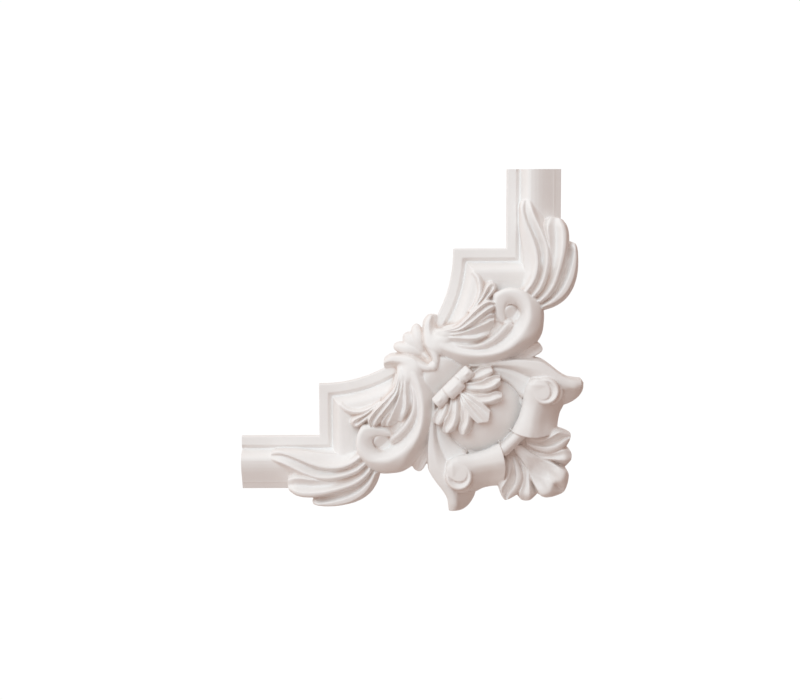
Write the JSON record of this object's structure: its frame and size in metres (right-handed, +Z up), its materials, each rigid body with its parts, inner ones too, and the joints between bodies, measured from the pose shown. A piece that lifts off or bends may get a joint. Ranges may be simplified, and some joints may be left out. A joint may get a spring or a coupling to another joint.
{
  "type": "polyurethane corner moulding",
  "caption": "White primed polyurethane corner piece for wall panel moulding, cast in one piece, with a swept rail, scrolls, leaves, a shell and a palm at the corner.",
  "frame": {"origin": "centre of the boss at the corner, on the flat back that lies against the wall", "axes": "+Y into the wall, -Y out of the wall towards the room, +Z up along the standing leg, -X along the lying leg; the piece mirrors itself about the diagonal through the boss"},
  "size_m": [0.3215, 0.0384, 0.3217],
  "materials": {
    "primed_polyurethane": "matte"
  },
  "bodies": {
    "root": {"corner_moulding": "primed_polyurethane"}
  },
  "joints": []
}
